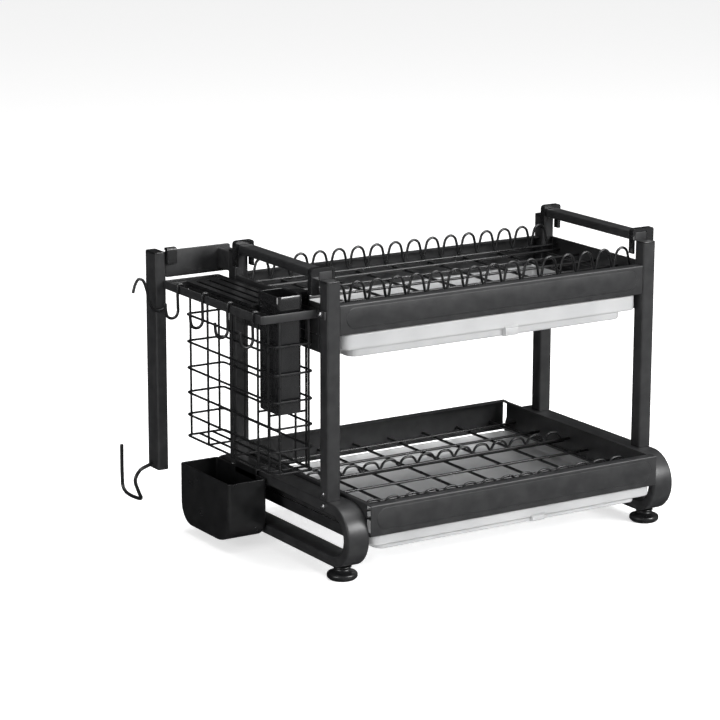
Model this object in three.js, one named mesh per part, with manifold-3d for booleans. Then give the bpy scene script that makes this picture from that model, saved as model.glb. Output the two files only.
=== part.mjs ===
// Two-tier dish drying rack with a utensil wing on its left side.
// Millimetres, +Z up, +X to the right, -Y towards the user. The parts are laid out from the
// left base loop's outer face (x = 0), its front end (y = 0) and the worktop (z = 0), and the
// finished rack is then moved so that its origin is under the middle of its outline.
import * as THREE from 'three';
import { mergeVertices } from 'three/addons/utils/BufferGeometryUtils.js';
import Module from 'manifold-3d';

const wasm = await Module();
wasm.setup();

// ---- Driving dimensions ----
const GAP = 0.3;                      // clearance between pieces that touch
const RACK_WIDTH = 530;               // over both base loops
const RACK_DEPTH = 363;               // front to back of a base loop
const SHEET = 1.5;                    // folded steel sheet

const LOOP = { width: 32, bar: 14.5, bottom: 18, top: 103 };
const POST = { side: 20, front: 52.5, top: 393.3, wall: 1.5, capTop: 395.7, plug: 8 };
const FOOT = { radius: 21, collar: 12.5, stud: 4, studTop: 30, hole: 4.5, y: 42 };

const UPPER = { bottom: 322.5, top: 363, front: 54, lip: 12, sideLip: 5 };
const LOWER = { bottom: 64.4, top: 106.7, front: -3, lip: 12, sideLip: 7, side: 32.3 };
const PANEL = { raise: 0.8, end: 10, top: 5.5, bottom: 8.5 };

const HOOPS = { pitch: 30.8, wire: 3.6, carrier: 4, crest: 384.7, foot: 356, row: 84 };
const PLATE_COUNT = 16;                 // hoops in a plate row
const BOWL_COUNT = 14;                  // hoops in a bowl row
const BUMPS = { crest: 99, foot: 89, frontRow: 44, rearRow: 196 };
const FLOOR = { wire: 4, weld: 0.6, upperZ: 346.5, lowerZ: 79, endInset: 34, sideInset: 22 };
const UPPER_GRID = { longs: 5, crosses: 9 };
const LOWER_GRID = { longs: 6, crosses: 8 };

const TOP_RAIL = { bottom: 394, top: 406 };
const SADDLE = { outer: 12, rearOuter: 5, inner: 4, bottom: 376, top: 411, length: 9 };

const UPPER_TRAY = {
  x: [26, 504], y: [56, 304], rimZ: [301, 321.5], basinX: [39, 481], basinY: [60, 298], bottom: 290,
  spoutX: [281, 301],
};
const LOWER_TRAY = {
  x: [36, 494], y: [1, 350], rimZ: [50, 63.9], basinX: [46, 470], basinY: [3, 344], bottom: 43.5,
  spoutX: [291, 311],
};
const TRAY = { wall: 2, corner: 14, travelGap: 0.4 };
const RUNNER = { upperLedge: 37, lowerLedge: 11 };

const WING = { x: [-97, -81], y: [337, 367], bottom: 92 };
const PLATE = { y: [339, 342], z: [360, 397], right: 19.5 };
const RING = { x: [-86, -0.3], y: [73, 336.5], z: [346, 357], bar: 3, tie: 316.3, tab: 55 };
const BASKET = { x: [-65, -5], y: [76.3, 316], wire: 3.2, topZ: 351 };
const BASKET_LEVELS = [143, 173, 204, 238.5, 275, 312.5];
const BASKET_UPRIGHTS = [95, 122, 190, 255];
const SHELF_Z = 218.6;
const CHOPSTICKS = { x: [-57, -21], y: [81, 131], z: [220.6, 377.5], wall: 2, rim: 1.4, rimHeight: 20 };
const KNIVES = { x: [-63, -7], y: [136, 314], z: [353, 358], slots: [-52, -35, -18], slotWidth: 5 };
const HOOK = { wire: 4, ys: [91, 156, 223, 291], saddleTop: 359.7, uBottom: 314.5, uRadius: 9, tipZ: 336 };
const CUP = { x: [-62, -3], y: [205, 340], z: [15, 98], corner: 28, wall: 2.5, hookTop: 106 };

// ---- Materials ----
const satinBlack = new THREE.MeshStandardMaterial({ color: 0x2a2b2d, roughness: 0.45, metalness: 0.35 });
const wireBlack = new THREE.MeshStandardMaterial({ color: 0x17181a, roughness: 0.35, metalness: 0.3 });
const blackPlastic = new THREE.MeshStandardMaterial({ color: 0x1c1d1f, roughness: 0.5, metalness: 0 });
const glossBlack = new THREE.MeshStandardMaterial({ color: 0x111214, roughness: 0.12, metalness: 0 });
const frostedTray = new THREE.MeshStandardMaterial({ color: 0xe6e8ea, roughness: 0.35, metalness: 0 });
const steel = new THREE.MeshStandardMaterial({ color: 0xb4b6b8, roughness: 0.3, metalness: 1 });

// ---- Solid tools ----
function toManifold(geometry) {
  const bare = geometry.clone();
  bare.deleteAttribute('normal');
  bare.deleteAttribute('uv');
  const merged = mergeVertices(bare, 1e-4);
  return new wasm.Manifold(new wasm.Mesh({
    numProp: 3,
    vertProperties: new Float32Array(merged.attributes.position.array),
    triVerts: new Uint32Array(merged.index.array),
  }));
}

function toGeometry(manifold) {
  const mesh = manifold.getMesh();
  const geometry = new THREE.BufferGeometry();
  geometry.setAttribute('position', new THREE.BufferAttribute(mesh.vertProperties, 3));
  geometry.setIndex(new THREE.BufferAttribute(mesh.triVerts, 1));
  return geometry;
}

function join(...pieces) {
  return toGeometry(pieces.map(toManifold).reduce((sum, piece) => sum.add(piece)));
}

function cut(base, ...tools) {
  return toGeometry(tools.map(toManifold).reduce((rest, tool) => rest.subtract(tool), toManifold(base)));
}

// ---- Basic shapes ----
function block([x0, x1], [y0, y1], [z0, z1]) {
  return new THREE.BoxGeometry(x1 - x0, y1 - y0, z1 - z0)
    .translate((x0 + x1) / 2, (y0 + y1) / 2, (z0 + z1) / 2);
}

function roundedRect([u0, u1], [v0, v1], r) {
  const shape = new THREE.Shape();
  shape.moveTo(u0 + r, v0);
  shape.lineTo(u1 - r, v0);
  shape.absarc(u1 - r, v0 + r, r, -Math.PI / 2, 0, false);
  shape.lineTo(u1, v1 - r);
  shape.absarc(u1 - r, v1 - r, r, 0, Math.PI / 2, false);
  shape.lineTo(u0 + r, v1);
  shape.absarc(u0 + r, v1 - r, r, Math.PI / 2, Math.PI, false);
  shape.lineTo(u0, v0 + r);
  shape.absarc(u0 + r, v0 + r, r, Math.PI, Math.PI * 1.5, false);
  return shape;
}

function polygon(points) {
  return new THREE.Shape(points.map(([u, v]) => new THREE.Vector2(u, v)));
}

// The outline's axes are (y, z) along X, (x, z) along Y and (x, y) along Z.
function extrude(axis, shape, [from, to], arcSteps = 4) {
  const geometry = new THREE.ExtrudeGeometry(shape, {
    depth: to - from, bevelEnabled: false, curveSegments: arcSteps,
  });
  if (axis === 'z') return geometry.translate(0, 0, from);
  if (axis === 'y') return geometry.rotateX(Math.PI / 2).translate(0, to, 0);
  const turn = new THREE.Matrix4().makeBasis(
    new THREE.Vector3(0, 1, 0), new THREE.Vector3(0, 0, 1), new THREE.Vector3(1, 0, 0),
  );
  return geometry.applyMatrix4(turn).translate(from, 0, 0);
}

function circle(radius, sides) {
  return polygon(Array.from({ length: sides }, (_, i) => {
    const angle = (2 * Math.PI * (i + 0.5)) / sides;
    return [radius * Math.cos(angle), radius * Math.sin(angle)];
  }));
}

function straightWire(from, to, diameter, sides = 6) {
  const start = new THREE.Vector3(...from);
  const run = new THREE.Vector3(...to).sub(start);
  const rod = new THREE.CylinderGeometry(diameter / 2, diameter / 2, run.length(), sides);
  rod.translate(0, run.length() / 2, 0);
  const turn = new THREE.Quaternion().setFromUnitVectors(new THREE.Vector3(0, 1, 0), run.clone().normalize());
  return rod.applyQuaternion(turn).translate(...from);
}

function bentWire(points, diameter, steps, sides = 6) {
  const path = new THREE.CatmullRomCurve3(points.map((p) => new THREE.Vector3(...p)), false, 'centripetal');
  return new THREE.ExtrudeGeometry(circle(diameter / 2, sides), { extrudePath: path, steps, bevelEnabled: false });
}

function mirrored(x) {
  return RACK_WIDTH - x;
}

function sideSpan(span, right) {
  return right ? [mirrored(span[1]), mirrored(span[0])] : span;
}

// ---- Frame ----
function baseLoop(right) {
  const radius = (LOOP.top - LOOP.bottom) / 2;
  const ring = roundedRect([0, RACK_DEPTH], [LOOP.bottom, LOOP.top], radius);
  ring.holes.push(roundedRect(
    [LOOP.bar, RACK_DEPTH - LOOP.bar], [LOOP.bottom + LOOP.bar, LOOP.top - LOOP.bar], radius - LOOP.bar,
  ));
  const loop = extrude('x', ring, sideSpan([0, LOOP.width], right), 6);
  const centre = sideSpan([LOOP.width / 2, LOOP.width / 2], right)[0];
  const holes = [FOOT.y, RACK_DEPTH - FOOT.y].map((y) => straightWire(
    [centre, y, LOOP.bottom - 1], [centre, y, LOOP.bottom + LOOP.bar - 1], FOOT.hole * 2, 12,
  ));
  return cut(loop, ...holes);
}

function levellingFoot() {
  const collarTop = LOOP.bottom - GAP;
  const profile = [
    [0, 0], [FOOT.radius - 2, 0], [FOOT.radius, 2], [FOOT.radius, 8], [FOOT.radius - 3, 10.5],
    [FOOT.collar, 12.5], [FOOT.collar - 1.5, 14.5], [FOOT.collar, collarTop], [FOOT.stud, collarTop],
    [FOOT.stud, FOOT.studTop], [0, FOOT.studTop],
  ];
  const foot = new THREE.LatheGeometry(profile.map(([r, z]) => new THREE.Vector2(r, z)), 14);
  return foot.rotateX(Math.PI / 2);
}

function postY(rear) {
  const front = rear ? RACK_DEPTH - POST.front - POST.side : POST.front;
  return [front, front + POST.side];
}

function post(right, rear) {
  const x = sideSpan([0, POST.side], right);
  const y = postY(rear);
  const inset = ([low, high]) => [low + POST.wall, high - POST.wall];
  const z = [LOOP.top + GAP, POST.top];
  return cut(block(x, y, z), block(inset(x), inset(y), [z[0] - 1, z[1] + 1]));
}

function postCap(right, rear) {
  const x = sideSpan([0, POST.side], right);
  const y = postY(rear);
  const inset = ([low, high]) => [low + POST.wall + GAP, high - POST.wall - GAP];
  return join(
    block(x, y, [POST.top + GAP, POST.capTop]),
    block(inset(x), inset(y), [POST.top - POST.plug, POST.top + 1]),
  );
}

function topRail(right) {
  const y = [postY(false)[1] + GAP, postY(true)[0] - GAP];
  return block(sideSpan([0, POST.side], right), y, [TOP_RAIL.bottom, TOP_RAIL.top]);
}

// An inverted U over the top rail. The front ones are thicker on the outer side, and the rear
// ones are slim, so that the knife holder lifts out past them.
function topSaddle(right, rear) {
  const outer = rear ? SADDLE.rearOuter : SADDLE.outer;
  const outline = roundedRect(
    sideSpan([-outer, POST.side + SADDLE.inner], right), [SADDLE.bottom, SADDLE.top], 3,
  );
  const frontY = postY(false)[1] + GAP;
  const y = rear
    ? [RACK_DEPTH - frontY - SADDLE.length, RACK_DEPTH - frontY]
    : [frontY, frontY + SADDLE.length];
  const slot = block(
    sideSpan([-GAP, POST.side + GAP], right), [y[0] - 1, y[1] + 1], [SADDLE.bottom - 1, TOP_RAIL.top + GAP],
  );
  return cut(extrude('y', outline, y, 3), slot);
}

// A folded channel along X whose face carries a raised panel with round ends.
function faceRail(tier, x, rear) {
  const web = tier.front;
  const section = polygon([
    [web, tier.bottom], [web + tier.lip, tier.bottom], [web + tier.lip, tier.bottom + SHEET],
    [web + SHEET, tier.bottom + SHEET], [web + SHEET, tier.top - SHEET], [web + tier.lip, tier.top - SHEET],
    [web + tier.lip, tier.top], [web, tier.top],
  ]);
  const panelZ = [tier.bottom + PANEL.bottom, tier.top - PANEL.top];
  const panelX = [x[0] + PANEL.end, x[1] - PANEL.end];
  const panel = roundedRect(panelX, panelZ, (panelZ[1] - panelZ[0]) / 2 - 0.01);
  const rail = join(
    extrude('x', section, x), extrude('y', panel, [web - PANEL.raise, web + SHEET / 2], 5),
  );
  if (!rear) return rail;
  const middle = (x[0] + x[1]) / 2;
  return rail.translate(-middle, 0, 0).rotateZ(Math.PI).translate(middle, RACK_DEPTH, 0);
}

// A folded channel along Y with its web on the rack's outer side.
function sideRail(tier, webX, y, right) {
  const inner = webX + tier.sideLip;
  const outline = [
    [webX, tier.bottom], [inner, tier.bottom], [inner, tier.bottom + SHEET], [webX + SHEET, tier.bottom + SHEET],
    [webX + SHEET, tier.top - SHEET], [inner, tier.top - SHEET], [inner, tier.top], [webX, tier.top],
  ];
  const points = right ? outline.map(([x, z]) => [mirrored(x), z]).reverse() : outline;
  return extrude('y', polygon(points), y);
}

// ---- Plate and bowl supports ----
// One wire bent into a row of hoops, welded along a straight carrier wire.
function hoopRow(count, y, crest, foot, carrierX, stepsPerHoop) {
  const half = HOOPS.pitch / 2;
  const rise = crest - foot;
  const firstCentre = RACK_WIDTH / 2 - (HOOPS.pitch * (count - 1)) / 2;
  const hoop = [[-half, 0], [-half + 2.4, 0.15], [-half + 4.6, 0.55], [-half + 8, 0.93], [0, 1],
    [half - 8, 0.93], [half - 4.6, 0.55], [half - 2.4, 0.15]];
  const points = [];
  for (let i = 0; i < count; i += 1) {
    const centre = firstCentre + i * HOOPS.pitch;
    hoop.forEach(([dx, part]) => points.push([centre + dx, y, foot + rise * part]));
  }
  points.push([firstCentre + (count - 0.5) * HOOPS.pitch, y, foot]);
  const carrierZ = foot - (HOOPS.wire + HOOPS.carrier) / 2 + 1;
  return join(
    bentWire(points, HOOPS.wire, count * stepsPerHoop, 4),
    straightWire([carrierX[0], y, carrierZ], [carrierX[1], y, carrierZ], HOOPS.carrier, 4),
  );
}

// A welded grid: long wires along X lie on cross wires along Y.
function wireFloor(x, y, z, grid) {
  const half = FLOOR.wire / 2;
  const sink = FLOOR.wire - FLOOR.weld;
  const spread = ([low, high], count, inset) => Array.from(
    { length: count }, (_, i) => low + inset + ((high - low - 2 * inset) * i) / (count - 1),
  );
  const band = (at) => [at - half, at + half];
  const longs = spread(y, grid.longs, FLOOR.endInset).map((at) => block(x, band(at), band(z)));
  const crosses = spread(x, grid.crosses, FLOOR.sideInset).map((at) => block(band(at), y, band(z - sink)));
  return join(...longs, ...crosses);
}

// ---- Drip trays and their runners ----
// A wide shallow rim above a narrower basin, with a small pouring lip at the front.
function dripTray(tray) {
  const shrink = ([low, high], by) => [low + by, high - by];
  const rim = extrude('z', roundedRect(tray.x, tray.y, TRAY.corner), tray.rimZ, 3);
  const basin = extrude('z', roundedRect(tray.basinX, tray.basinY, TRAY.corner), [tray.bottom, tray.rimZ[0] + 1], 3);
  const spout = block(tray.spoutX, [tray.y[0] - 2.5, tray.y[0] + 8], [tray.bottom + 1.5, tray.rimZ[0] + 3]);
  const rimSpace = extrude(
    'z', roundedRect(shrink(tray.x, TRAY.wall), shrink(tray.y, TRAY.wall), TRAY.corner - TRAY.wall),
    [tray.rimZ[0] + TRAY.wall, tray.rimZ[1] + 1], 3,
  );
  const basinSpace = extrude(
    'z', roundedRect(shrink(tray.basinX, TRAY.wall), shrink(tray.basinY, TRAY.wall), TRAY.corner - TRAY.wall),
    [tray.bottom + TRAY.wall, tray.rimZ[0] + TRAY.wall + 1], 3,
  );
  const spoutSpace = block(
    shrink(tray.spoutX, TRAY.wall), [tray.y[0] - 0.5, tray.y[0] + 9], [tray.bottom + 3.5, tray.rimZ[0] + 4],
  );
  return cut(join(rim, basin, spout), rimSpace, basinSpace, spoutSpace);
}

// An angle under a side rail whose ledge carries the tray's rim.
function runner(tier, tray, webX, ledgeX, y, right) {
  const top = tier.bottom - GAP;
  const ledgeTop = tray.rimZ[0] - TRAY.travelGap;
  const outline = [
    [webX, ledgeTop - SHEET], [ledgeX, ledgeTop - SHEET], [ledgeX, ledgeTop], [webX + SHEET, ledgeTop],
    [webX + SHEET, top], [webX, top],
  ];
  const points = right ? outline.map(([x, z]) => [mirrored(x), z]).reverse() : outline;
  return extrude('y', polygon(points), y);
}

// ---- Utensil wing ----
function wingPost() {
  const inset = ([low, high]) => [low + POST.wall, high - POST.wall];
  return cut(
    block(WING.x, WING.y, [WING.bottom, POST.top]),
    block(inset(WING.x), inset(WING.y), [WING.bottom - 1, POST.top + 1]),
  );
}

function wingCap() {
  const inset = ([low, high]) => [low + POST.wall + GAP, high - POST.wall - GAP];
  return join(
    block(WING.x, WING.y, [POST.top + GAP, POST.capTop]),
    block(inset(WING.x), inset(WING.y), [POST.top - POST.plug, POST.top + 1]),
  );
}

// The cross plate has a welded foot that meets the rear post.
function wingPlate() {
  return join(
    extrude('y', roundedRect([WING.x[1] + GAP, PLATE.right], PLATE.z, 3), PLATE.y, 2),
    block([1, 19], [postY(true)[1] + GAP, PLATE.y[0] + 1], [365, 392]),
  );
}

function wingClip() {
  const outline = polygon([
    [333, 379], [338.7, 379], [338.7, 397.3], [342.3, 397.3], [342.3, 401], [335, 401], [333, 399],
  ]);
  return extrude('x', outline, [WING.x[1] + GAP, -66]);
}

// The flat-bar frame that carries the basket, with a rear tie bar and a tab to the front post.
function basketFrame() {
  const [x0, x1] = RING.x;
  const [y0, y1] = RING.y;
  const bend = 4;
  const outline = new THREE.Shape();
  outline.moveTo(x0 + bend, y0);
  outline.lineTo(x1 - RING.bar, y0);
  outline.lineTo(x1 - RING.bar, RING.tab);
  outline.lineTo(x1, RING.tab);
  outline.lineTo(x1, y1);
  outline.lineTo(x0 + bend, y1);
  outline.absarc(x0 + bend, y1 - bend, bend, Math.PI / 2, Math.PI, false);
  outline.lineTo(x0, y0 + bend);
  outline.absarc(x0 + bend, y0 + bend, bend, Math.PI, Math.PI * 1.5, false);
  const innerX = [x0 + RING.bar, x1 - RING.bar];
  outline.holes.push(roundedRect(innerX, [y0 + RING.bar, RING.tie], 1));
  outline.holes.push(roundedRect(innerX, [RING.tie + RING.bar, y1 - RING.bar], 1));
  return extrude('z', outline, RING.z, 2);
}

function panScrew(axis, at) {
  const profile = [[0, 0], [3.6, 0], [3.6, 0.8], [2.4, 2.2], [0, 2.6]];
  const head = new THREE.LatheGeometry(profile.map(([r, z]) => new THREE.Vector2(r, z)), 12);
  const turn = new THREE.Quaternion().setFromUnitVectors(new THREE.Vector3(0, 1, 0), new THREE.Vector3(...axis));
  return head.applyQuaternion(turn).translate(...at);
}

function utensilBasket() {
  const half = BASKET.wire / 2;
  const [x0, x1] = BASKET.x;
  const [y0, y1] = BASKET.y;
  const hoop = (z) => {
    const outline = roundedRect([x0, x1], [y0, y1], 6);
    outline.holes.push(roundedRect(
      [x0 + BASKET.wire, x1 - BASKET.wire], [y0 + BASKET.wire, y1 - BASKET.wire], 6 - BASKET.wire,
    ));
    return extrude('z', outline, [z - half, z + half], 2);
  };
  const floorZ = BASKET_LEVELS[0];
  const band = (at) => [at - half, at + half];
  const upright = (x, y) => block(band(x), band(y), [floorZ - half, BASKET.topZ + half]);
  const cross = (y, z) => block([x0, x1], band(y), band(z));
  const floorRun = (x) => block(band(x), [y0, y1], band(floorZ));
  const xs = [x0 + half, x1 - half];
  const endXs = [x0 + 8, x1 - 8];
  return join(
    ...BASKET_LEVELS.map(hoop), hoop(BASKET.topZ),
    ...xs.flatMap((x) => BASKET_UPRIGHTS.map((y) => upright(x, y))),
    ...endXs.flatMap((x) => [upright(x, y0 + half), upright(x, y1 - half)]),
    ...BASKET_UPRIGHTS.map((y) => cross(y, floorZ)), floorRun(-45), floorRun(-25),
    cross(BASKET_UPRIGHTS[0], SHELF_Z), cross(BASKET_UPRIGHTS[1], SHELF_Z),
  );
}

function chopstickBox() {
  const { x, y, z, wall, rim, rimHeight } = CHOPSTICKS;
  const grow = ([low, high], by) => [low - by, high + by];
  const body = extrude('z', roundedRect(x, y, 5), z, 3);
  const band = extrude('z', roundedRect(grow(x, rim), grow(y, rim), 6), [z[1] - rimHeight, z[1]], 3);
  const space = extrude('z', roundedRect(grow(x, -wall), grow(y, -wall), 3), [z[0] + wall, z[1] + 1], 3);
  const strapX = RING.x[1] - 0.5;
  const strap = polygon([
    [x[1], z[1] - 2], [strapX - 2, z[1] - 2], [strapX - 2, RING.z[1] + GAP], [strapX, RING.z[1] + GAP],
    [strapX, z[1]], [x[1], z[1]],
  ]);
  return cut(join(body, band, extrude('y', strap, [95, 117])), space);
}

function knifeHolder() {
  const plate = extrude('z', roundedRect(KNIVES.x, KNIVES.y, 4), KNIVES.z, 2);
  const skirt = extrude(
    'z', roundedRect([KNIVES.x[0] + 2.5, KNIVES.x[1] - 2.5], [KNIVES.y[0], KNIVES.y[1] - 3], 3),
    [KNIVES.z[0] - 8, KNIVES.z[0] + 1], 2,
  );
  const halfSlot = KNIVES.slotWidth / 2;
  const slots = KNIVES.slots.map((at) => block(
    [at - halfSlot, at + halfSlot], [KNIVES.y[0] + 8, KNIVES.y[1] - 10], [KNIVES.z[0] - 9, KNIVES.z[1] + 1],
  ));
  return cut(join(plate, skirt), ...slots);
}

// A hook that saddles the outer bar, drops down outside it and turns up away from the rack.
function utensilHook(y) {
  const clear = HOOK.wire / 2 + GAP;
  const inside = RING.x[0] + RING.bar + clear;
  const outside = RING.x[0] - clear;
  const top = HOOK.saddleTop;
  const uMiddle = outside - HOOK.uRadius;
  const tip = outside - 2 * HOOK.uRadius;
  return bentWire([
    [inside, y, top - 12], [inside, y, top - 3], [inside - 1, y, top - 0.4], [outside + 1, y, top - 0.4],
    [outside, y, top - 3], [outside, y, HOOK.uBottom + 14], [outside, y, HOOK.uBottom + HOOK.uRadius],
    [outside - 2.6, y, HOOK.uBottom + 2.6], [uMiddle, y, HOOK.uBottom], [tip + 2.6, y, HOOK.uBottom + 2.6],
    [tip, y, HOOK.uBottom + HOOK.uRadius], [tip - 1, y, HOOK.tipZ],
  ], HOOK.wire, 18, 5);
}

// A guard wire on the wing post's front face that rises beside the boards.
function boardGuard() {
  const y = WING.y[0] - 2 - GAP;
  return bentWire([
    [-83, y, 321], [-88, y, 317.5], [-96, y, 316.5], [-103, y, 320], [-109, y, 332], [-112, y, 347],
    [-118, y, 361], [-124, y, 363], [-129, y, 357], [-133, y, 345],
  ], 4, 18, 5);
}

// The cradle under the boards: out from the wing post, down, back under them and up behind.
function boardCradle() {
  return bentWire([
    [WING.x[0] - GAP - 2.5, 350, 100], [-108, 346, 99], [-123, 342, 95], [-131, 341, 83], [-126, 342, 66],
    [-119, 348, 54], [-117, 360, 50], [-117, 396, 50], [-117, 405, 56], [-117, 407, 72], [-117, 407, 116],
  ], 5, 22, 5);
}

// The catch cup under the basket: its lip hooks over the left base loop.
function dripCup() {
  const outline = roundedRect(CUP.y, CUP.z, CUP.corner);
  const wall = CUP.wall;
  const bowl = extrude('x', outline, CUP.x, 6);
  const crown = block(CUP.x, CUP.y, [CUP.z[1] - 30, CUP.z[1]]);
  const inner = roundedRect([CUP.y[0] + wall, CUP.y[1] - wall], [CUP.z[0] + wall, CUP.z[1] + 60], CUP.corner - wall);
  const space = extrude('x', inner, [CUP.x[0] + wall, CUP.x[1] - wall], 6);
  const lip = polygon([
    [CUP.x[1] - wall, 90], [CUP.x[1] - GAP, 90], [CUP.x[1] - GAP, LOOP.top + GAP], [14, LOOP.top + GAP],
    [14, CUP.hookTop], [CUP.x[1] - wall, CUP.hookTop],
  ]);
  return cut(join(bowl, crown, extrude('y', lip, [230, 285])), space);
}

// ---- Assembly ----
const rack = new THREE.Group();

function add(name, geometry, material) {
  const mesh = new THREE.Mesh(geometry, material);
  mesh.name = name;
  rack.add(mesh);
  return mesh;
}

const betweenPosts = [POST.side + GAP, RACK_WIDTH - POST.side - GAP];
const postGap = [postY(false)[1] + GAP, postY(true)[0] - GAP];
const betweenLoops = [LOWER.side, RACK_WIDTH - LOWER.side];
const lowerSideY = [LOWER.front + LOWER.lip + GAP, RACK_DEPTH - LOWER.front - LOWER.lip - GAP];

for (const right of [false, true]) {
  const side = right ? 'right' : 'left';
  add(`base_loop_${side}`, baseLoop(right), satinBlack);
  add(`top_rail_${side}`, topRail(right), satinBlack);
  add(`upper_side_rail_${side}`, sideRail(UPPER, 0, postGap, right), satinBlack);
  add(`lower_side_rail_${side}`, sideRail(LOWER, LOWER.side, lowerSideY, right), satinBlack);
  add(`upper_runner_${side}`, runner(UPPER, UPPER_TRAY, 0, RUNNER.upperLedge, postGap, right), satinBlack);
  const lowerLedge = LOWER.side + RUNNER.lowerLedge;
  add(`lower_runner_${side}`, runner(LOWER, LOWER_TRAY, LOWER.side, lowerLedge, [20, 343], right), satinBlack);
  for (const rear of [false, true]) {
    const corner = `${rear ? 'rear' : 'front'}_${side}`;
    const x = right ? mirrored(LOOP.width / 2) : LOOP.width / 2;
    const y = rear ? RACK_DEPTH - FOOT.y : FOOT.y;
    add(`foot_${corner}`, levellingFoot(), blackPlastic).position.set(x, y, 0);
    add(`post_${corner}`, post(right, rear), satinBlack);
    add(`post_cap_${corner}`, postCap(right, rear), blackPlastic);
    add(`top_saddle_${corner}`, topSaddle(right, rear), blackPlastic);
    const outward = right ? 1 : -1;
    const faceX = right ? RACK_WIDTH + GAP : -GAP;
    const screwY = (postY(rear)[0] + postY(rear)[1]) / 2;
    add(`loop_screw_${corner}`, panScrew([outward, 0, 0], [faceX, screwY, LOOP.top - 8]), steel);
  }
}

add('upper_front_rail', faceRail(UPPER, betweenPosts, false), satinBlack);
add('upper_rear_rail', faceRail(UPPER, betweenPosts, true), satinBlack);
add('lower_front_rail', faceRail(LOWER, betweenLoops, false), satinBlack);
add('lower_rear_rail', faceRail(LOWER, betweenLoops, true), satinBlack);

const upperWireX = [SHEET + GAP, RACK_WIDTH - SHEET - GAP];
const upperWireY = [UPPER.front + SHEET + GAP, RACK_DEPTH - UPPER.front - SHEET - GAP];
add('plate_hoops_front', hoopRow(PLATE_COUNT, HOOPS.row, HOOPS.crest, HOOPS.foot, upperWireX, 8), wireBlack);
add('plate_hoops_rear', hoopRow(PLATE_COUNT, RACK_DEPTH - HOOPS.row, HOOPS.crest, HOOPS.foot, upperWireX, 8), wireBlack);
add('plate_floor', wireFloor(upperWireX, upperWireY, FLOOR.upperZ, UPPER_GRID), wireBlack);
add('upper_drip_tray', dripTray(UPPER_TRAY), frostedTray);

const lowerWireX = [LOWER.side + SHEET + GAP, RACK_WIDTH - LOWER.side - SHEET - GAP];
const lowerWireY = [LOWER.front + SHEET + GAP, RACK_DEPTH - LOWER.front - SHEET - GAP];
add('bowl_hoops_front', hoopRow(BOWL_COUNT, BUMPS.frontRow, BUMPS.crest, BUMPS.foot, lowerWireX, 5), wireBlack);
add('bowl_hoops_rear', hoopRow(BOWL_COUNT, BUMPS.rearRow, BUMPS.crest, BUMPS.foot, lowerWireX, 5), wireBlack);
add('bowl_floor', wireFloor(lowerWireX, lowerWireY, FLOOR.lowerZ, LOWER_GRID), wireBlack);
add('lower_drip_tray', dripTray(LOWER_TRAY), frostedTray);

add('wing_post', wingPost(), satinBlack);
add('wing_post_cap', wingCap(), blackPlastic);
add('wing_plate', wingPlate(), satinBlack);
add('wing_clip', wingClip(), blackPlastic);
add('basket_frame', basketFrame(), satinBlack);
add('basket_screw', panScrew([-1, 0, 0], [RING.x[1] - RING.bar - GAP, 64, 352]), steel);
add('utensil_basket', utensilBasket(), wireBlack);
add('chopstick_box', chopstickBox(), glossBlack);
add('knife_holder', knifeHolder(), blackPlastic);
HOOK.ys.forEach((y, i) => add(`utensil_hook_${i + 1}`, utensilHook(y), wireBlack));
add('board_guard', boardGuard(), wireBlack);
add('board_cradle', boardCradle(), wireBlack);
add('drip_cup', dripCup(), blackPlastic);

// The origin goes under the middle of the rack's outline, on the worktop.
const middle = new THREE.Box3().setFromObject(rack).getCenter(new THREE.Vector3());
rack.position.set(-middle.x, -middle.y, 0);

export default rack;
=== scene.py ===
import math

import bmesh
import bpy
from mathutils import Matrix, Quaternion, Vector
from mathutils.geometry import tessellate_polygon


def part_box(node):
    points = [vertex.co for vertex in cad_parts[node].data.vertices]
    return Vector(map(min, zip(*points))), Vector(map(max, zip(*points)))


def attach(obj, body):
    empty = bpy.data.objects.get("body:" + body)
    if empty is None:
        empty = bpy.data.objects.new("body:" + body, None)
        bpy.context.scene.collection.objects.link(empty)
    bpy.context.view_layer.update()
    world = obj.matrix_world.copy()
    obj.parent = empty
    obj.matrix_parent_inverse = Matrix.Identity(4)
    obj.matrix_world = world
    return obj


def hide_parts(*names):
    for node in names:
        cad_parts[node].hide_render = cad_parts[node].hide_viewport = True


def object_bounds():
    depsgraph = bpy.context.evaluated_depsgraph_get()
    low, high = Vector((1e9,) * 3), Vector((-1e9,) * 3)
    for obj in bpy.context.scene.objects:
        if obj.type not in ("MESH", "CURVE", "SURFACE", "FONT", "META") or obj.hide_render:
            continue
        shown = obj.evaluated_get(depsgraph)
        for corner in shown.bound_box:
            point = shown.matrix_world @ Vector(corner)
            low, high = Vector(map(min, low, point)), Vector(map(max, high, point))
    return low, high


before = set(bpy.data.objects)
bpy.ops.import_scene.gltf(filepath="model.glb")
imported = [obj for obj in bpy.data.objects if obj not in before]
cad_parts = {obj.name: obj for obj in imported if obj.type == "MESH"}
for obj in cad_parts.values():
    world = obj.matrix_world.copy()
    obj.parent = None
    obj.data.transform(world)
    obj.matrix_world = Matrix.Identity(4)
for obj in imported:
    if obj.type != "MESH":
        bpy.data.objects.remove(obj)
CAD_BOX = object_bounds()

# ---- Layout -------------------------------------------------------------------------------
# Forms are laid out in millimetres from the left base loop's outer face, its front end and
# the worktop. ORIGIN puts them in the frame's metres.
MM = 0.001
LOOP_LOW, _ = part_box("base_loop_left")
ORIGIN = Vector((LOOP_LOW.x, LOOP_LOW.y, 0.0))
WELD = 2e-6                 # points closer than this are one point, in metres

GAP = 0.3                   # clearance between pieces that touch
SHEET = 1.5                 # folded sheet
CORNERS = ("front_left", "rear_left", "front_right", "rear_right")


def box(node):
    """A CAD node's low and high corner in layout millimetres."""
    low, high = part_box(node)
    return (low - ORIGIN) / MM, (high - ORIGIN) / MM


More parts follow.
